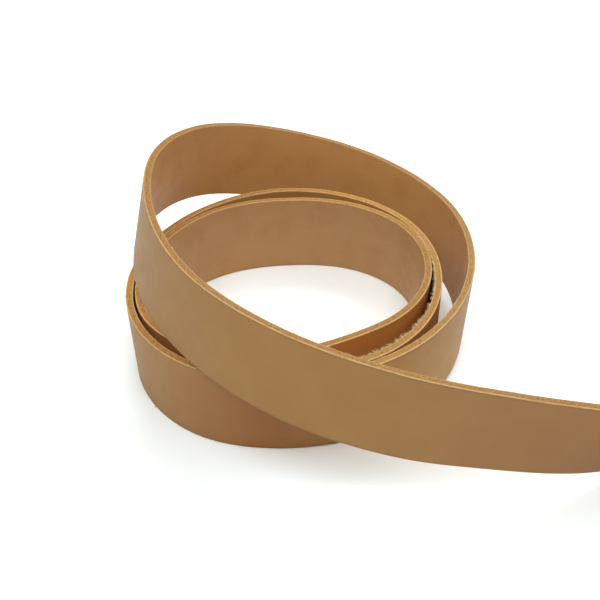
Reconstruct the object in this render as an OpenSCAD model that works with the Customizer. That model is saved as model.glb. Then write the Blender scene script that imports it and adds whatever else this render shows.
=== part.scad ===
// Leather strap standing on one long edge, loosely coiled about three turns, with one end running free.
// Millimetres, +Z up. The strap rests on the plane z = 0, with the middle of its footprint over the origin.

/* [Strap] */
// Width of the strap, measured between its two long edges
strap_width = 38; // [30:1:38]
// Thickness of the leather
strap_thickness = 3.2; // [2:0.1:3.2]
// Bevel along the four long corners
edge_bevel = 0.4; // [0.1:0.1:0.8]

/* [Smoothness] */
// Cross-sections along each stretch between two stations
sections_per_stretch = 6; // [3:1:10]

/* [Hidden] */

leather = "#A1784E";

// Stations are the points that the middle of the strap passes through. Each ends up as
// [x, y, lift, lean]: lift is the height of the lower edge, lean tips the upper edge outwards in degrees.

// Free end, from the cut end to the coil, given directly from the middle of the coil
tail_stations = [
    [199, -50, 1, 28],
    [168, -74, 1, 20],
    [137, -88.5, 4, 11],
    [106, -94.5, 10, 3],
    [76, -95.5, 16, -1],
    [43, -95, 23, -6]
];

// Round the coil the stations are this many degrees apart, clockwise from the front
turn_step = 30;

// Loose outer turn, which climbs over the turns below it: [radius, lift, lean]
loose_stations = [
    [84.5, 33, -8], [70, 40.5, -7], [62.5, 45, -12], [61.5, 46, -12],
    [69.5, 44, -11], [80, 36, -3], [83.5, 24, 6], [87.5, 14, 7],
    [89, 7, 5], [82.5, 4, 3], [77, 2, 0], [73, 1, 0]
];

// Turns that stand on their lower edge, nearly upright: [radius, lean]
standing_stations = [
    [70.5, -2], [73.5, -1], [72, 1], [67.5, 2], [64.5, 1], [65.5, 0],
    [68.5, 0], [70, 0], [70.5, 0], [68.5, 0], [69, 0], [68.5, 0],
    [64, 0], [63.5, 0], [67.5, 1], [63.5, 2], [61, 1], [59, 4],
    [57.5, 4], [63, 2], [67, 0], [64, 2], [59, 0], [53, 0],
    [58.5, 0]
];

function on_circle(radius, angle) = [-radius * sin(angle), -radius * cos(angle)];

stations = concat(
    tail_stations,
    [for (i = [0 : len(loose_stations) - 1])
        let (s = loose_stations[i]) concat(on_circle(s[0], turn_step * i), [s[1], s[2]])],
    [for (i = [0 : len(standing_stations) - 1])
        let (s = standing_stations[i], angle = turn_step * (i + len(loose_stations)))
            concat(on_circle(s[0], angle), [0, s[1]])]
);

// Cubic B-spline whose curve runs through the stations
last = len(stations) - 1;
padded = concat([2 * stations[0] - stations[1]], stations, [2 * stations[last] - stations[last - 1]]);
inner_controls = [for (i = [1 : last + 1]) (8 * padded[i] - padded[i - 1] - padded[i + 1]) / 6];
controls = concat(
    [2 * inner_controls[0] - inner_controls[1]],
    inner_controls,
    [2 * inner_controls[last] - inner_controls[last - 1]]
);
function spline_point(i, u) =
    (pow(1 - u, 3) * controls[i]
    + (3 * pow(u, 3) - 6 * pow(u, 2) + 4) * controls[i + 1]
    + (-3 * pow(u, 3) + 3 * pow(u, 2) + 3 * u + 1) * controls[i + 2]
    + pow(u, 3) * controls[i + 3]) / 6;
route = concat(
    [for (i = [0 : last - 1], k = [0 : sections_per_stretch - 1]) spline_point(i, k / sections_per_stretch)],
    [spline_point(last - 1, 1)]
);
end = len(route) - 1;

// Middle line of the strap, and at each point of it the directions along, across and out of the leather
half_w = strap_width / 2;
half_t = strap_thickness / 2;
function clear_of_surface(p) = max(p[2], half_t * sin(abs(p[3])));
middle = [for (p = route) [p[0], p[1], clear_of_surface(p) + half_w * cos(p[3])]];
function unit(v) = v / norm(v);
function along(i) = unit(middle[min(i + 1, end)] - middle[max(i - 1, 0)]);
function upright(i) = let (t = along(i)) unit([0, 0, 1] - t * t[2]);
function outward(i) = cross(upright(i), along(i));
function across(i) = upright(i) * cos(route[i][3]) + outward(i) * sin(route[i][3]);
function face_normal(i) = outward(i) * cos(route[i][3]) - upright(i) * sin(route[i][3]);

// Cross-section with bevelled corners, as [across, out of the leather]
section = [
    [half_w, half_t - edge_bevel], [half_w - edge_bevel, half_t],
    [edge_bevel - half_w, half_t], [-half_w, half_t - edge_bevel],
    [-half_w, edge_bevel - half_t], [edge_bevel - half_w, -half_t],
    [half_w - edge_bevel, -half_t], [half_w, edge_bevel - half_t]
];
sides = len(section);
swept = [for (i = [0 : end], c = section) middle[i] + c[0] * across(i) + c[1] * face_normal(i)];

// The middle of the footprint goes over the origin
xs = [for (p = swept) p[0]];
ys = [for (p = swept) p[1]];
footprint_middle = [(max(xs) + min(xs)) / 2, (max(ys) + min(ys)) / 2, 0];

module strap() {
    points = [for (p = swept) p - footprint_middle];
    walls = [for (i = [0 : end - 1], k = [0 : sides - 1]) let (n = (k + 1) % sides)
        each [
            [i * sides + k, i * sides + n, (i + 1) * sides + n],
            [i * sides + k, (i + 1) * sides + n, (i + 1) * sides + k]
        ]];
    cut_end = [for (k = [0 : sides - 1]) sides - 1 - k];
    coil_end = [for (k = [0 : sides - 1]) end * sides + k];
    color(leather) polyhedron(points = points, faces = concat(walls, [cut_end, coil_end]), convexity = 12);
}

strap();
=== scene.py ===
import math

import bmesh
import bpy
import numpy as np
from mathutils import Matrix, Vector


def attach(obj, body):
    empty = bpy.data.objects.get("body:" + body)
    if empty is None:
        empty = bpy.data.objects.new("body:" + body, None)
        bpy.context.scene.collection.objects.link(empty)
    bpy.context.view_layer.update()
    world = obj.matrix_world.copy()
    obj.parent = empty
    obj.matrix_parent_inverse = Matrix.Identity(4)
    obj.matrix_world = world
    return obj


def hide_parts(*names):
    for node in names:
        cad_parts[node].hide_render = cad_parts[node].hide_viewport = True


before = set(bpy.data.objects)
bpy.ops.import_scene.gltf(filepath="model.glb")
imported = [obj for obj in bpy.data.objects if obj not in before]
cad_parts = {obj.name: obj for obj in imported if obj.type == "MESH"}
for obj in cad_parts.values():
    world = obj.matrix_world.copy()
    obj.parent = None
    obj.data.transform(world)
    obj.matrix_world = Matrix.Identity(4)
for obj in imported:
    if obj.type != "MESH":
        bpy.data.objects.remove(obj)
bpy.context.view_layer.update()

MM = 0.001

# ---------------------------------------------------------------- sizes of the strap, in millimetres
STRAP_WIDTH = 38.0
STRAP_THICKNESS = 3.2
STRAP_LENGTH = 1524.0
HALF_WIDTH = STRAP_WIDTH / 2
HALF_THICKNESS = STRAP_THICKNESS / 2
GRAIN_CORNER = 0.35          # radius of the two corners on the grain side
FLESH_CORNER = 0.20          # radius of the two on the flesh side, which are crisper
EDGE_CROWN = 0.10            # how far the cut edges bulge at mid thickness
CROWN_REACH = 1.4            # how far from mid thickness the bulge would run out
CROWN_POINTS = (-0.7, 0.0, 0.7)   # where a cut edge has points, from mid thickness
FACE_MARGIN = 0.5            # from the grain corners to the nearest points of the flat faces
FACE_POINTS = 15             # points over the width of each flat face
GRAIN_CORNER_STEPS = 4
FLESH_CORNER_STEPS = 3
EDGE_ZONE = 1.0              # how much of the width at each edge moves when the edge wavers
RING_STEP = 1.5              # spacing of cross-sections along the strap
STEPS_PER_STRETCH = 40       # points worked out between two stations before they are evened out

# Small irregularities of the two long edges, as wavelength and height
UPPER_WAVES = [(61, 0.05), (23.7, 0.03), (9.1, 0.015)]
LOWER_WAVES = [(53, 0.03), (19.3, 0.02)]
UPPER_PHASE = 1.3
LOWER_PHASE = 2.1
PHASE_OFFSET = 1.7           # added to a wave's place in its list before the phase multiplies it

# The route, as in the CAD model: x, y, lift of the lower edge, lean of the upper edge outwards in degrees
TAIL_STATIONS = [
    [199, -50, 1, 28], [168, -74, 1, 20], [137, -88.5, 4, 11],
    [106, -94.5, 10, 3], [76, -95.5, 16, -1], [43, -95, 23, -6],
]
TURN_STEP = 30               # degrees from one station to the next round the coil
# radius, lift, lean
LOOSE_STATIONS = [
    [84.5, 33, -8], [70, 40.5, -7], [62.5, 45, -12], [61.5, 46, -12],
    [69.5, 44, -11], [80, 36, -3], [83.5, 24, 6], [87.5, 14, 7],
    [89, 7, 5], [82.5, 4, 3], [77, 2, 0], [73, 1, 0],
]
# radius, lean
STANDING_STATIONS = [
    [70.5, -2], [73.5, -1], [72, 1], [67.5, 2], [64.5, 1], [65.5, 0],
    [68.5, 0], [70, 0], [70.5, 0], [68.5, 0], [69, 0], [68.5, 0],
    [64, 0], [63.5, 0], [67.5, 1], [63.5, 2], [61, 1], [59, 4],
    [57.5, 4], [63, 2], [67, 0], [64, 2], [59, 0], [53, 0],
    [58.5, 0],
]


# ---------------------------------------------------------------- the strap's route
def all_stations():
    """Every station as x, y, lift, lean, from the free end to the inner end."""
    turns = LOOSE_STATIONS + [[radius, 0, lean] for radius, lean in STANDING_STATIONS]
    rows = [list(row) for row in TAIL_STATIONS]
    for count, (radius, lift, lean) in enumerate(turns):
        angle = math.radians(TURN_STEP * count)
        rows.append([-radius * math.sin(angle), -radius * math.cos(angle), lift, lean])
    return np.array(rows, float)


def spline(stations, steps):
    """The CAD model's cubic B-spline through the stations, with this many points along each stretch."""
    padded = np.vstack([2 * stations[0] - stations[1], stations, 2 * stations[-1] - stations[-2]])
    inner = (8 * padded[1:-1] - padded[:-2] - padded[2:]) / 6
    controls = np.vstack([2 * inner[0] - inner[1], inner, 2 * inner[-1] - inner[-2]])
    u = (np.arange(steps) / steps)[:, None]
    weights = [(1 - u) ** 3, 3 * u ** 3 - 6 * u ** 2 + 4, -3 * u ** 3 + 3 * u ** 2 + 3 * u + 1, u ** 3]
    rows = [sum(w * controls[i + k] for k, w in enumerate(weights)) / 6 for i in range(len(stations) - 1)]
    return np.vstack(rows + [stations[-1:]])


def unit(rows):
    return rows / np.linalg.norm(rows, axis=1)[:, None]


class Route:
    """The strap's middle line in even steps, with the directions along, across and out of the leather."""

    def __init__(self):
        rows = spline(all_stations(), STEPS_PER_STRETCH)
        lean = np.radians(rows[:, 3])
        low = np.maximum(rows[:, 2], HALF_THICKNESS * np.abs(np.sin(lean)))
        middle = np.column_stack([rows[:, 0], rows[:, 1], low + HALF_WIDTH * np.cos(lean)])
        steps = np.linalg.norm(np.diff(middle, axis=0), axis=1)
        run = np.concatenate([[0], np.cumsum(steps)])
        self.stations = run[::STEPS_PER_STRETCH]
        self.run = np.linspace(0, run[-1], int(run[-1] / RING_STEP) + 1)
        self.middle = np.column_stack([np.interp(self.run, run, middle[:, k]) for k in range(3)])
        lean = np.interp(self.run, run, lean)[:, None]
        self.along = unit(np.gradient(self.middle, axis=0))
        up = np.array([0.0, 0.0, 1.0])
        upright = unit(up - self.along * self.along[:, 2:3])
        outward = np.cross(upright, self.along)
        self.across = upright * np.cos(lean) + outward * np.sin(lean)
        self.out = outward * np.cos(lean) - upright * np.sin(lean)

    def at_angle(self, angle):
        """How far along the strap it has turned this many degrees round the coil, from the front."""
        station = len(TAIL_STATIONS) + angle / TURN_STEP
        return np.interp(station, np.arange(len(self.stations)), self.stations)

    def frame_at(self, run):
        """The middle of the strap there, and the directions along, across and out of the leather."""
        sides = (self.middle, self.along, self.across, self.out)
        return [np.array([np.interp(run, self.run, rows[:, k]) for k in range(3)]) for rows in sides]

    def rings(self, outline):
        """Points of a cross-section outline at every step: rows are steps, then outline points."""
        across = outline[None, :, 0, None] * self.across[:, None]
        return self.middle[:, None] + across + outline[None, :, 1, None] * self.out[:, None]


# ---------------------------------------------------------------- the strap's cross-section and mesh
def quarter(v_side, n_side, size, steps):
    """A rounded corner from the broad face to the cut edge, as across and out of the leather."""
    points = []
    for k in range(steps + 1):
        a = math.radians(90 * k / steps)
        v = HALF_WIDTH - size + size * math.sin(a)
        n = HALF_THICKNESS - size + size * math.cos(a)
        points.append([v_side * v, n_side * n])
    return points


def section():
    """The outline of the cross-section, going round from the upper grain corner over the grain face."""
    inner = HALF_WIDTH - GRAIN_CORNER - FACE_MARGIN
    face = np.linspace(inner, -inner, FACE_POINTS)
    grain = [[v, HALF_THICKNESS] for v in face]
    flesh = [[-v, -HALF_THICKNESS] for v in face]
    edge = [[HALF_WIDTH + EDGE_CROWN * (1 - (n / CROWN_REACH) ** 2), n] for n in CROWN_POINTS]
    lower_edge = [[-v, n] for v, n in reversed(edge)]
    outline = quarter(1, 1, GRAIN_CORNER, GRAIN_CORNER_STEPS)[::-1] + grain
    outline += quarter(-1, 1, GRAIN_CORNER, GRAIN_CORNER_STEPS) + lower_edge
    outline += quarter(-1, -1, FLESH_CORNER, FLESH_CORNER_STEPS)[::-1] + flesh
    outline += quarter(1, -1, FLESH_CORNER, FLESH_CORNER_STEPS) + edge
    return np.array(outline)


def waver(run, waves, phase):
    """A small irregular wave along the strap, from a few sines of a wavelength and a height."""
    total = np.zeros_like(run)
    for k, (wavelength, height) in enumerate(waves):
        total += height * np.sin(2 * math.pi * run / wavelength + phase * (k + PHASE_OFFSET))
    return total


def waver_edges(route, outline, rings):
    """Moves the upper edge in and out a little, and the lower edge, which touches the floor, only in."""
    upper = outline[:, 0] > HALF_WIDTH - EDGE_ZONE
    lower = outline[:, 0] < EDGE_ZONE - HALF_WIDTH
    upper_move = waver(route.run, UPPER_WAVES, UPPER_PHASE)
    rings[:, upper] += (upper_move[:, None] * route.across)[:, None]
    lower_move = np.abs(waver(route.run, LOWER_WAVES, LOWER_PHASE))
    rings[:, lower] += (lower_move[:, None] * route.across)[:, None]


def offset_to_frame(rings):
    """The rings' lowest height and the middle of their footprint, which go to the floor and the origin."""
    low, high = rings.reshape(-1, 3).min(0), rings.reshape(-1, 3).max(0)
    return np.array([(low[0] + high[0]) / 2, (low[1] + high[1]) / 2, low[2]])


def ring_faces(steps, sides):
    """Faces between neighbouring rings, then a cap at the free end and one at the inner end."""
    faces = []
    for i in range(steps - 1):
        a, b = i * sides, (i + 1) * sides
        faces += [(a + k, a + (k + 1) % sides, b + (k + 1) % sides, b + k) for k in range(sides)]
    faces.append(tuple(reversed(range(sides))))
    faces.append(tuple((steps - 1) * sides + k for k in range(sides)))
    return faces


def strap_mesh(route, outline, rings):
    """The strap's skin. Every point also holds its place in the flat strap: run, across and out."""
    steps, sides = rings.shape[:2]
    points = rings.reshape(-1, 3)
    place = np.empty_like(points)
    place[:, 0] = np.repeat(route.run, sides)
    place[:, 1:] = np.tile(outline, (steps, 1))
    faces = ring_faces(steps, sides)
    mesh = bpy.data.meshes.new("leather_strap")
    mesh.from_pydata((points * MM).tolist(), [], faces)
    mesh.shade_smooth()
    for cap in (-1, -2):
        mesh.polygons[len(faces) + cap].use_smooth = False
    where = mesh.attributes.new("strap_place", "FLOAT_VECTOR", "POINT")
    where.data.foreach_set("vector", (place * MM).ravel())
    mesh.validate()
    mesh.update()
    return mesh


# ---------------------------------------------------------------- loose fibres, in millimetres
# Stretches of the flesh corners with loose fibres, as degrees round the coil (the free end lies before 0):
# from, to, upper (1) or lower (-1) edge, usual distance between tufts, length and thickness of the fibres
FIBRE_STRETCHES = [
    (-90, 1020, 1, 5.0, 0.45, 0.10),
    (-90, 1020, -1, 9.0, 0.45, 0.10),
    (-10, 25, 1, 1.5, 0.55, 0.13),
    (600, 720, 1, 1.1, 0.65, 0.16),
    (625, 690, 1, 1.1, 0.95, 0.22),
    (820, 860, 1, 2.5, 0.50, 0.12),
]
FIBRE_SEED = 11
MOST_IN_TUFT = 4
TUFT_SPREAD = 0.35           # how far the fibres of a tuft stand apart along the strap
FIBRE_ROOT = (0.08, 0.12)    # how far inside the corner a fibre starts, from the edge and from the face
FIBRE_LIFT = (0.2, 1.1)      # least and most that a fibre points past the edge
FIBRE_REACH = 1.3            # its lift and how much it points out of the flesh face, together
FIBRE_SKEW = 0.6             # how much its direction varies along the strap
FIBRE_CURL = 0.3             # how much it bends along the strap
FIBRE_DROOP = 0.4            # most that it bends out of the flesh face
FIBRE_LENGTHS = (0.5, 1.5)   # least and most of the usual length
SHORTEST_FIBRE = 0.1         # added to every fibre's length
FIBRE_THICKNESSES = (0.7, 1.3)   # least and most of the usual thickness
FIBRE_SEGMENTS = 3
FIBRE_TAPER = 0.75           # how much thinner the tip is than the root
FIBRE_LOWEST = 0.02          # height above the floor that no fibre goes below
OFF_AXIS = (0.3, 0.5, 0.8)   # a direction that no fibre follows, to find its sides from
THIRD_OF_TURN = 2 * math.pi / 3

SLIVER_ANGLE = 409           # a small torn sliver at the foot of the outer standing turn
SLIVER_FIBRES = 7
SLIVER_ROOT = (0.35, 0.2)    # how far inside the grain corner it starts, from the edge and from the face
SLIVER_OUT = (0.8, 1.1)      # least and most that its fibres point out of the grain face
SLIVER_DROP = (-0.1, 0.15)   # least and most that they point down
SLIVER_SKEW = 0.35           # how much their direction varies along the strap
SLIVER_SPREAD = 0.3          # how far apart they start along the strap
SLIVER_CURL = 0.3            # how much they bend along the strap
SLIVER_RISE = 0.1            # how much they bend up
SLIVER_LENGTHS = (0.7, 1.3)
SLIVER_THICKNESSES = (0.25, 0.4)


def fibre(points, faces, start, direction, bend, length, thickness):
    """Adds one tapered, closed, three-sided fibre."""
    side = np.cross(direction, OFF_AXIS)
    side /= np.linalg.norm(side)
    other = np.cross(direction, side)
    base = len(points)
    for k in range(FIBRE_SEGMENTS + 1):
        u = k / FIBRE_SEGMENTS
        centre = start + direction * length * u + bend * length * u * u
        radius = thickness / 2 * (1 - FIBRE_TAPER * u)
        for a in (0, THIRD_OF_TURN, 2 * THIRD_OF_TURN):
            points.append(centre + radius * (math.cos(a) * side + math.sin(a) * other))
    for k in range(FIBRE_SEGMENTS):
        a, b = base + 3 * k, base + 3 * k + 3
        faces += [(a + i, a + (i + 1) % 3, b + (i + 1) % 3, b + i) for i in range(3)]
    faces.append((base + 2, base + 1, base))
    faces.append(tuple(base + 3 * FIBRE_SEGMENTS + i for i in range(3)))


def loose_fibre(points, faces, route, rng, run, edge, usual, thick):
    """Adds one fibre that stands off a flesh corner."""
    middle, along, across, out = route.frame_at(run + rng.normal(0, TUFT_SPREAD))
    start = middle + edge * across * (HALF_WIDTH - FIBRE_ROOT[0]) - out * (HALF_THICKNESS - FIBRE_ROOT[1])
    lift = rng.uniform(*FIBRE_LIFT)
    direction = edge * across * lift - out * (FIBRE_REACH - lift) + along * rng.normal(0, FIBRE_SKEW)
    direction /= np.linalg.norm(direction)
    bend = along * rng.normal(0, FIBRE_CURL) - out * rng.uniform(0, FIBRE_DROOP)
    length = usual * rng.uniform(*FIBRE_LENGTHS) + SHORTEST_FIBRE
    fibre(points, faces, start, direction, bend, length, thick * rng.uniform(*FIBRE_THICKNESSES))


def sliver(points, faces, route, rng):
    """Adds the torn sliver: a few thick fibres that stick out from the foot of the grain face."""
    middle, along, across, out = route.frame_at(route.at_angle(SLIVER_ANGLE))
    foot = middle - across * (HALF_WIDTH - SLIVER_ROOT[0]) + out * (HALF_THICKNESS - SLIVER_ROOT[1])
    for _ in range(SLIVER_FIBRES):
        direction = out * rng.uniform(*SLIVER_OUT) + along * rng.normal(0, SLIVER_SKEW)
        direction -= across * rng.uniform(*SLIVER_DROP)
        start = foot + along * rng.normal(0, SLIVER_SPREAD)
        bend = along * rng.normal(0, SLIVER_CURL) + across * SLIVER_RISE
        length = rng.uniform(*SLIVER_LENGTHS)
        fibre(points, faces, start, direction, bend, length, rng.uniform(*SLIVER_THICKNESSES))


def fibres_mesh(route, offset):
    rng = np.random.default_rng(FIBRE_SEED)
    points, faces = [], []
    for first, last, edge, spacing, usual, thick in FIBRE_STRETCHES:
        run = route.at_angle(first)
        end = route.at_angle(last)
        while run < end:
            for _ in range(rng.integers(1, MOST_IN_TUFT + 1)):
                loose_fibre(points, faces, route, rng, run, edge, usual, thick)
            run += spacing * rng.exponential(1.0)
    sliver(points, faces, route, rng)
    points = np.array(points) - offset
    points[:, 2] = np.maximum(points[:, 2], FIBRE_LOWEST)
    mesh = bpy.data.meshes.new("edge_fibres")
    mesh.from_pydata((points * MM).tolist(), [], faces)
    mesh.update()
    return mesh


# ---------------------------------------------------------------- node helpers
class Tree:
    """A material's node tree, with short ways to add the nodes used here."""

    def __init__(self, name):
        self.material = bpy.data.materials.new(name)
        self.material.use_nodes = True
        self.tree = self.material.node_tree
        self.tree.nodes.clear()

    def add(self, kind, inputs=(), **settings):
        node = self.tree.nodes.new(kind)
        for name, value in settings.items():
            setattr(node, name, value)
        for name, value in dict(inputs).items():
            self.put(node.inputs[name], value)
        return node

    def put(self, socket, value):
        if isinstance(value, bpy.types.NodeSocket):
            self.tree.links.new(value, socket)
        else:
            socket.default_value = value

    def math(self, operation, a, b=0.0, clamp=False):
        node = self.add("ShaderNodeMath", operation=operation, use_clamp=clamp)
        self.put(node.inputs[0], a)
        self.put(node.inputs[1], b)
        return node.outputs[0]

    def times(self, a, b):
        return self.math("MULTIPLY", a, b)

    def ramp(self, value, low, high, start=0.0, end=1.0):
        """start below low, end above high, and a smooth change between them."""
        settings = {"From Min": low, "From Max": high, "To Min": start, "To Max": end, "Value": value}
        return self.add("ShaderNodeMapRange", settings, interpolation_type="SMOOTHSTEP").outputs["Result"]

    def mix(self, factor, a, b, blend="MIX"):
        """A mix of two colours: a where the factor is 0, b where it is 1."""
        node = self.add("ShaderNodeMix", data_type="RGBA", blend_type=blend)
        self.put(node.inputs["Factor"], factor)
        self.put(node.inputs[6], a)
        self.put(node.inputs[7], b)
        return node.outputs[2]

    def mix_value(self, factor, a, b):
        node = self.add("ShaderNodeMix", data_type="FLOAT")
        self.put(node.inputs["Factor"], factor)
        self.put(node.inputs[2], a)
        self.put(node.inputs[3], b)
        return node.outputs[0]

    def times_tone_and_painted_light(self, colour, run, stops):
        """The colour times the tone and the painted light and shade at this distance along the strap, from
        one of the lists of stops.
        """
        node = self.add("ShaderNodeValToRGB", {"Fac": self.math("DIVIDE", run, STRAP_LENGTH * MM)})
        ends = node.color_ramp.elements
        ends[0].color = (*stops[0][1], 1)
        ends[1].color = (*stops[-1][1], 1)
        for distance, tone in stops[1:-1]:
            ends.new(distance / STRAP_LENGTH).color = (*tone, 1)
        return self.mix(1.0, colour, node.outputs["Color"], "MULTIPLY")

    def stretch(self, vector, scale):
        node = self.add("ShaderNodeVectorMath", operation="MULTIPLY")
        self.put(node.inputs[0], vector)
        self.put(node.inputs[1], scale)
        return node.outputs[0]

    def noise(self, vector, size, detail=2.0, roughness=0.5):
        """Noise whose patches are about this many millimetres across, from 0 to 1."""
        inputs = {"Vector": vector, "Scale": 1 / (size * MM), "Detail": detail, "Roughness": roughness}
        return self.add("ShaderNodeTexNoise", inputs).outputs["Fac"]

    def cells(self, vector, size):
        """How far it is to the middle of the nearest of many cells about this many millimetres across."""
        inputs = {"Vector": vector, "Scale": 1 / (size * MM)}
        return self.add("ShaderNodeTexVoronoi", inputs, feature="F1").outputs["Distance"]


# ---------------------------------------------------------------- leather
GRAIN_COLOUR = (0.355, 0.167, 0.0450, 1)
GRAIN_LIGHT = (0.363, 0.176, 0.0477, 1)
GRAIN_DARK = (0.342, 0.161, 0.0423, 1)
GRAIN_PORE = (0.177, 0.0776, 0.0230, 1)
BURNISH = (0.240, 0.104, 0.0262, 1)
FLESH_COLOUR = (0.506, 0.248, 0.0786, 1)
FLESH_RED = (0.475, 0.210, 0.0629, 1)
FLESH_NAP = (0.540, 0.264, 0.0949, 1)
EDGE_COLOUR = (0.393, 0.189, 0.0583, 1)
EDGE_DARK = (0.232, 0.104, 0.0304, 1)
EDGE_PIT = (0.136, 0.0570, 0.0170, 1)
# Pale lines along the corners of the cut edges: partly a burnished bevel, partly a painted highlight where
# the corners catch light from above.
GRAIN_LINE_HIGHLIGHT = (0.512, 0.309, 0.136, 1)
FLESH_LINE_HIGHLIGHT = (0.440, 0.252, 0.103, 1)
FIBRE_DARK = (0.62, 0.36, 0.16, 1)
FIBRE_LIGHT = (0.90, 0.66, 0.42, 1)

# The leather's tone changes slowly along the strap. These lists also hold painted light and shade: the
# shadow and bounced light that the turns of the coil throw on each other, painted into the colour. Each
# stop is millimetres from the free end and a tone, which multiplies the colours of the grain face, the
# flesh face and the cut edges.
# Grain: painted shade darkens and reddens the free end and a spot on the outer standing turn under the
# tail, near 712 millimetres; painted light brightens the outer face beside the tail from 590 to 675, and
# the faces seen down the gaps between turns, near 1180 and from 1470 to the inner end.
GRAIN_TONES_AND_PAINTED_LIGHT = [
    (0, (0.89, 0.79, 0.79)), (80, (0.89, 0.79, 0.79)), (180, (1.00, 1.00, 1.00)),
    (590, (1.00, 1.06, 1.04)), (640, (1.02, 1.12, 1.05)), (675, (1.10, 1.16, 1.08)),
    (712, (0.92, 0.71, 0.62)), (755, (1.00, 1.00, 1.00)), (1120, (1.00, 1.00, 1.00)),
    (1180, (1.25, 1.08, 1.20)), (1250, (1.00, 1.00, 1.00)), (1370, (1.00, 1.00, 1.00)),
    (1470, (1.55, 1.28, 1.20)), (STRAP_LENGTH, (1.55, 1.28, 1.20)),
]
# Flesh: painted light brightens the inside of the loose turn from 520 to 700 millimetres, and painted
# shade darkens the inside of the innermost turn from 1250 on.
FLESH_TONES_AND_PAINTED_LIGHT = [
    (0, (1.00, 1.00, 1.00)), (440, (1.00, 1.00, 1.00)), (520, (1.08, 1.12, 1.12)),
    (560, (1.12, 1.06, 0.98)), (610, (1.24, 1.16, 0.90)), (700, (1.10, 1.08, 0.96)),
    (760, (1.00, 1.00, 1.00)), (1150, (1.00, 1.00, 1.00)), (1205, (1.00, 1.05, 1.10)),
    (1250, (0.85, 0.92, 1.01)), (1300, (0.80, 0.84, 0.92)), (STRAP_LENGTH, (0.80, 0.88, 0.86)),
]
# Cut edges: painted light brightens the top edges of the standing turns where the loose turn shades them,
# from 800 to 960 and from 1180 to 1330 millimetres.
EDGE_TONES_AND_PAINTED_LIGHT = [
    (0, (1.00, 1.05, 1.12)), (230, (1.00, 1.04, 1.10)), (330, (0.97, 0.94, 0.90)),
    (450, (1.00, 1.00, 1.00)), (580, (1.05, 1.18, 1.35)), (700, (1.05, 1.05, 1.05)),
    (800, (1.30, 1.28, 1.28)), (960, (1.35, 1.38, 1.40)), (1040, (1.05, 1.10, 1.10)),
    (1120, (1.00, 1.03, 1.05)), (1180, (1.30, 1.28, 1.28)), (1330, (1.30, 1.30, 1.30)),
    (1420, (1.00, 1.00, 1.00)), (STRAP_LENGTH, (1.00, 1.00, 1.00)),
]

# Sizes of the patterns, in millimetres
BLOTCH_SIZE = 18             # slow light and dark over the grain face
CLOUD_SIZE = 4               # smaller changes of colour and gloss
PORE_SIZE = 0.45
CREASE_SIZE = 1.4
PATCH_SIZE = 16              # redder patches of the flesh face
NAP_SIZE = 0.8
LAYER_SIZE = 0.5             # light and dark fibre in the cut edges
PIT_SIZE = 1.0
WEAR_SIZE = 2.2              # where the pale lines at the corners, partly burnish and partly painted highlight, are broken up
FIBRE_TINT_SIZE = 0.6

# How much the patterns are drawn out: the smaller the number, the longer the pattern in that direction
CREASE_STRETCH = (1.0, 0.7, 1.0)
NAP_STRETCH = (0.35, 1.0, 1.0)
LAYER_STRETCH = (0.6, 1.0, 1.0)
PIT_STRETCH = (0.8, 1.0, 1.0)

# Where the parts of the leather change into each other, in millimetres. Depths go from mid thickness
# towards the grain side, and the other distances from the middle of the strap's width towards an edge.
FLESH_DEPTH = (-1.45, -1.2)
FLESH_LINE_DEPTH = (-1.30, -1.05)
GRAIN_LINE_DEPTH = (0.90, 1.20)
EDGE_SLANT_DEPTH = (-0.5, 0.5)
EDGE_START = (18.86, 18.74)          # on the flesh side and on the grain side
EDGE_BLUR = 0.06
BURNISH_START = (17.6, 18.4)

NOISE_RANGE = (0.3, 0.7)             # where most values of a noise lie
# How strongly a pattern shows in the colour, from 0 to 1
CLOUD_SHARE = 0.25
PORE_SHARE = 0.18
BURNISH_SHARE = 0.35
NAP_SHARE = 0.35
PIT_SHARE = 0.6
# How far a pattern stands out, times the bump's height
PORE_RELIEF = 0.4
CREASE_RELIEF = 0.6
NAP_RELIEF = 3.0
LAYER_RELIEF = 3.0
PIT_RELIEF = 1.5

ROUGHNESS = (0.52, 0.60)             # lowest and highest on the grain face
FLESH_SMOOTHER_BY = 0.06
EDGE_ROUGHER_BY = 0.20
GRAIN_GLOSS = 0.45
FLESH_GLOSS = 0.60
EDGE_GLOSS = 0.15
LEATHER_IOR = 1.45
BUMP_HEIGHT = 0.04                   # millimetres that a height of 1 stands out
FIBRE_BUMP_HEIGHT = 0.02
FIBRE_ROUGHNESS = (0.65, 0.85)
FIBRE_GLOSS = 0.2
FIBRE_GLOW = 0.8                     # share of the light that goes into a fibre
FIBRE_GLOW_DEPTH = 0.4               # how deep it goes in millimetres, times the next line's colour
FIBRE_GLOW_COLOUR = (1.0, 0.7, 0.4)


def ramp_mm(t, value, pair, start=0.0, end=1.0):
    """A ramp between two distances in millimetres."""
    return t.ramp(value, pair[0] * MM, pair[1] * MM, start, end)


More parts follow.
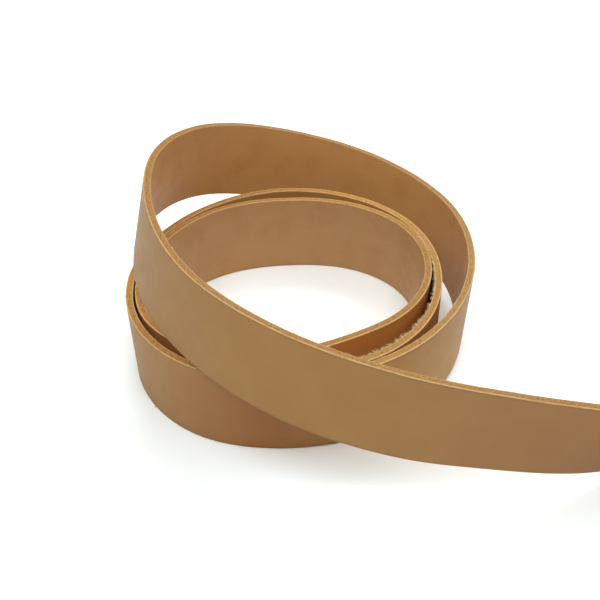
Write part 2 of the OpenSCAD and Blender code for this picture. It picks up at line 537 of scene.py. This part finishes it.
def grain_face(t, place, run, from_middle, cloud):
    """Colour and height of the smooth side: soft blotches, pores, creases and darker margins."""
    blotch = t.noise(place, BLOTCH_SIZE, 3.0, 0.55)
    colour = t.mix(t.ramp(blotch, *NOISE_RANGE), GRAIN_DARK, GRAIN_LIGHT)
    colour = t.mix(t.ramp(cloud, *NOISE_RANGE, 0.0, CLOUD_SHARE), colour, GRAIN_COLOUR)
    pores = t.cells(place, PORE_SIZE)
    colour = t.mix(t.ramp(pores, 0.05, 0.35, PORE_SHARE, 0.0), colour, GRAIN_PORE)
    burnish = ramp_mm(t, from_middle, BURNISH_START)
    colour = t.mix(t.times(burnish, BURNISH_SHARE), colour, BURNISH)
    fine = t.times(t.ramp(pores, 0.0, 0.4), PORE_RELIEF)
    creases = t.noise(t.stretch(place, CREASE_STRETCH), CREASE_SIZE, 3.0, 0.6)
    return t.times_tone_and_painted_light(colour, run, GRAIN_TONES_AND_PAINTED_LIGHT), t.math("ADD", fine, t.times(creases, CREASE_RELIEF))


def flesh_face(t, place, run):
    """Colour and height of the rougher side: redder patches under a short nap."""
    patches = t.noise(place, PATCH_SIZE, 3.0, 0.6)
    colour = t.mix(t.ramp(patches, 0.40, 0.72), FLESH_COLOUR, FLESH_RED)
    nap = t.noise(t.stretch(place, NAP_STRETCH), NAP_SIZE, 4.0, 0.65)
    colour = t.mix(t.ramp(nap, 0.35, 0.7, 0.0, NAP_SHARE), colour, FLESH_NAP)
    return t.times_tone_and_painted_light(colour, run, FLESH_TONES_AND_PAINTED_LIGHT), t.times(nap, NAP_RELIEF)


def cut_edge(t, place, run, depth):
    """Colour and height of the cut edges: raw layers and pits between a pale line at each corner, partly
    burnish and partly a painted highlight.
    """
    layers = t.noise(t.stretch(place, LAYER_STRETCH), LAYER_SIZE, 4.0, 0.7)
    colour = t.mix(t.ramp(layers, 0.40, 0.60), EDGE_DARK, EDGE_COLOUR)
    pits = t.cells(t.stretch(place, PIT_STRETCH), PIT_SIZE)
    colour = t.mix(t.ramp(pits, 0.12, 0.26, PIT_SHARE, 0.0), colour, EDGE_PIT)
    wear = t.noise(place, WEAR_SIZE, 3.0)
    # Pale line at the flesh corner: partly burnish, partly a painted highlight.
    flesh_highlight = ramp_mm(t, depth, FLESH_LINE_DEPTH, 1.0, 0.0)
    colour = t.mix(t.times(flesh_highlight, t.ramp(wear, 0.3, 0.6, 0.4, 1.0)), colour, FLESH_LINE_HIGHLIGHT)
    # Pale line at the grain corner: partly burnish, partly a painted highlight.
    grain_highlight = ramp_mm(t, depth, GRAIN_LINE_DEPTH)
    colour = t.mix(t.times(grain_highlight, t.ramp(wear, 0.4, 0.7, 1.0, 0.6)), colour, GRAIN_LINE_HIGHLIGHT)
    height = t.math("ADD", t.times(layers, LAYER_RELIEF), t.ramp(pits, 0.05, 0.3, 0.0, PIT_RELIEF))
    return t.times_tone_and_painted_light(colour, run, EDGE_TONES_AND_PAINTED_LIGHT), height


def leather_roughness(t, cloud, flesh, edge):
    roughness = t.ramp(cloud, *NOISE_RANGE, *ROUGHNESS)
    roughness = t.math("SUBTRACT", roughness, t.times(flesh, FLESH_SMOOTHER_BY))
    return t.math("ADD", roughness, t.times(edge, EDGE_ROUGHER_BY), clamp=True)


def leather_material():
    """Leather whose patterns follow the place in the flat strap, and so run round the coil with it."""
    t = Tree("leather")
    place = t.add("ShaderNodeAttribute", attribute_name="strap_place").outputs["Vector"]
    axes = t.add("ShaderNodeSeparateXYZ", {"Vector": place}).outputs
    run, across, depth = axes[0], axes[1], axes[2]
    from_middle = t.math("ABSOLUTE", across)
    edge_start = ramp_mm(t, depth, EDGE_SLANT_DEPTH, EDGE_START[0] * MM, EDGE_START[1] * MM)
    edge = ramp_mm(t, t.math("SUBTRACT", from_middle, edge_start), (-EDGE_BLUR, EDGE_BLUR))
    flesh = ramp_mm(t, depth, FLESH_DEPTH, 1.0, 0.0)
    cloud = t.noise(place, CLOUD_SIZE)

    grain_colour, grain_height = grain_face(t, place, run, from_middle, cloud)
    flesh_colour, flesh_height = flesh_face(t, place, run)
    edge_colour, edge_height = cut_edge(t, place, run, depth)
    height = t.mix_value(edge, t.mix_value(flesh, grain_height, flesh_height), edge_height)
    bump = t.add("ShaderNodeBump", {"Height": height, "Strength": 1.0, "Distance": BUMP_HEIGHT * MM})
    shader = t.add("ShaderNodeBsdfPrincipled", {
        "Base Color": t.mix(edge, t.mix(flesh, grain_colour, flesh_colour), edge_colour),
        "Roughness": leather_roughness(t, cloud, flesh, edge),
        "Normal": bump.outputs["Normal"],
        "IOR": LEATHER_IOR,
        "Specular IOR Level": t.mix_value(edge, t.mix_value(flesh, GRAIN_GLOSS, FLESH_GLOSS), EDGE_GLOSS),
    })
    t.add("ShaderNodeOutputMaterial", {"Surface": shader.outputs[0]})
    return t.material


def fibre_material():
    """Pale loose fibre that lets some light through."""
    t = Tree("loose_fibres")
    where = t.add("ShaderNodeNewGeometry").outputs["Position"]
    tint = t.noise(where, FIBRE_TINT_SIZE)
    bump = t.add("ShaderNodeBump", {"Height": tint, "Distance": FIBRE_BUMP_HEIGHT * MM})
    shader = t.add("ShaderNodeBsdfPrincipled", {
        "Base Color": t.mix(t.ramp(tint, *NOISE_RANGE), FIBRE_DARK, FIBRE_LIGHT),
        "Roughness": t.ramp(tint, *NOISE_RANGE, *FIBRE_ROUGHNESS),
        "Normal": bump.outputs["Normal"],
        "Specular IOR Level": FIBRE_GLOSS,
        "Subsurface Weight": FIBRE_GLOW,
        "Subsurface Radius": FIBRE_GLOW_COLOUR,
        "Subsurface Scale": FIBRE_GLOW_DEPTH * MM,
    })
    t.add("ShaderNodeOutputMaterial", {"Surface": shader.outputs[0]})
    return t.material


def place_piece(name, mesh, material):
    piece = bpy.data.objects.new(name, mesh)
    mesh.materials.append(material)
    bpy.context.scene.collection.objects.link(piece)
    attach(piece, "root")
    return piece


# ---------------------------------------------------------------- stage, lights and camera, in metres
FLOOR_COLOUR = (0.967, 0.95, 0.95, 1)
FLOOR_RADIUS = 1.15
FLOOR_SIDES = 96
FLOOR_HEIGHT = -0.0001       # just below the strap's lower edge
BACKDROP_COLOUR = (0.97, 0.98, 0.98, 1)
BACKDROP_RADIUS = 8.0
FILL_COLOUR = (1.0, 0.97, 0.88, 1)
FILL_STRENGTH = 0.12
LIGHT_TINT = (0.91, 1.0, 1.0)
LIGHTS_AIM_AT = (-0.03, 0.0, 0.03)
# name, degrees round from the front (90 is the right), elevation in degrees, distance, size, watts
LIGHTS = [
    ("front_panel", -10, 68, 1.6, 1.2, 19.0),
    ("top_panel", 180, 68, 1.6, 1.2, 4.0),
    ("left_softbox", 270, 45, 2.6, 1.6, 13.0),
    ("right_softbox", 90, 45, 2.6, 1.6, 14.0),
    ("rear_right_softbox", 135, 45, 2.6, 1.6, 20.0),
    ("rear_softbox", 180, 45, 2.6, 1.6, 30.0),
    ("low_rear_softbox", 180, 20, 2.6, 1.2, 8.0),
]
CAMERA_LOOKS_AT = (-0.0613, 0.0317, 0.0)
CAMERA_ELEVATION = 38.47     # degrees
CAMERA_DISTANCE = 0.4612
CAMERA_LENS = 55.62          # millimetres, as is the sensor
CAMERA_SENSOR = 36
CAMERA_NEAREST = 0.01        # nothing closer than this is drawn


def stage_object(name, mesh, shader_kind, colour):
    t = Tree(name)
    shader = t.add(shader_kind, {"Color": colour})
    t.add("ShaderNodeOutputMaterial", {"Surface": shader.outputs[0]})
    mesh.materials.append(t.material)
    obj = bpy.data.objects.new(name, mesh)
    bpy.context.scene.collection.objects.link(obj)
    return obj


def floor():
    """A round sheet of white paper."""
    turns = [2 * math.pi * k / FLOOR_SIDES for k in range(FLOOR_SIDES)]
    rim = [(FLOOR_RADIUS * math.cos(a), FLOOR_RADIUS * math.sin(a), 0) for a in turns]
    mesh = bpy.data.meshes.new("floor")
    mesh.from_pydata(rim, [], [range(FLOOR_SIDES)])
    obj = stage_object("floor", mesh, "ShaderNodeBsdfDiffuse", FLOOR_COLOUR)
    obj.location.z = FLOOR_HEIGHT


def backdrop():
    """A pale surround far behind the floor's rim, which is seen but gives no light."""
    mesh = bpy.data.meshes.new("backdrop")
    shape = bmesh.new()
    bmesh.ops.create_icosphere(shape, subdivisions=3, radius=BACKDROP_RADIUS)
    shape.to_mesh(mesh)
    shape.free()
    obj = stage_object("backdrop", mesh, "ShaderNodeEmission", BACKDROP_COLOUR)
    obj.visible_diffuse = False
    obj.visible_glossy = False
    obj.visible_transmission = False
    obj.visible_volume_scatter = False
    obj.visible_shadow = False


def area_light(name, position, size, power):
    data = bpy.data.lights.new(name, "AREA")
    data.shape = "SQUARE"
    data.size = size
    data.energy = power
    data.color = LIGHT_TINT
    obj = bpy.data.objects.new(name, data)
    obj.location = position
    facing = Vector(LIGHTS_AIM_AT) - Vector(position)
    obj.rotation_euler = facing.to_track_quat("-Z", "Y").to_euler()
    obj.visible_camera = False
    bpy.context.scene.collection.objects.link(obj)


def lights():
    """A weak fill from all round, and the panels and softboxes, none of which is seen."""
    world = bpy.data.worlds.new("studio")
    world.use_nodes = True
    background = world.node_tree.nodes["Background"]
    background.inputs["Color"].default_value = FILL_COLOUR
    background.inputs["Strength"].default_value = FILL_STRENGTH
    bpy.context.scene.world = world
    for name, azimuth, elevation, distance, size, power in LIGHTS:
        a, e = math.radians(azimuth), math.radians(elevation)
        level = distance * math.cos(e)
        position = (level * math.sin(a), -level * math.cos(a), distance * math.sin(e))
        area_light(name, position, size, power)


def camera():
    data = bpy.data.cameras.new("camera")
    data.lens = CAMERA_LENS
    data.sensor_width = CAMERA_SENSOR
    data.sensor_fit = "HORIZONTAL"
    data.clip_start = CAMERA_NEAREST
    obj = bpy.data.objects.new("camera", data)
    tilt = math.radians(CAMERA_ELEVATION)
    back = Vector((0, -math.cos(tilt), math.sin(tilt))) * CAMERA_DISTANCE
    obj.location = Vector(CAMERA_LOOKS_AT) + back
    obj.rotation_euler = (math.radians(90 - CAMERA_ELEVATION), 0, 0)
    bpy.context.scene.collection.objects.link(obj)
    bpy.context.scene.camera = obj


# ---------------------------------------------------------------- the scene
bpy.context.scene.view_settings.view_transform = "Standard"
camera()
lights()
floor()
backdrop()

route = Route()
outline = section()
rings = route.rings(outline)
waver_edges(route, outline, rings)
offset = offset_to_frame(rings)
strap = place_piece("leather_strap", strap_mesh(route, outline, rings - offset), leather_material())
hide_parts("strap")
fibres = place_piece("edge_fibres", fibres_mesh(route, offset), fibre_material())
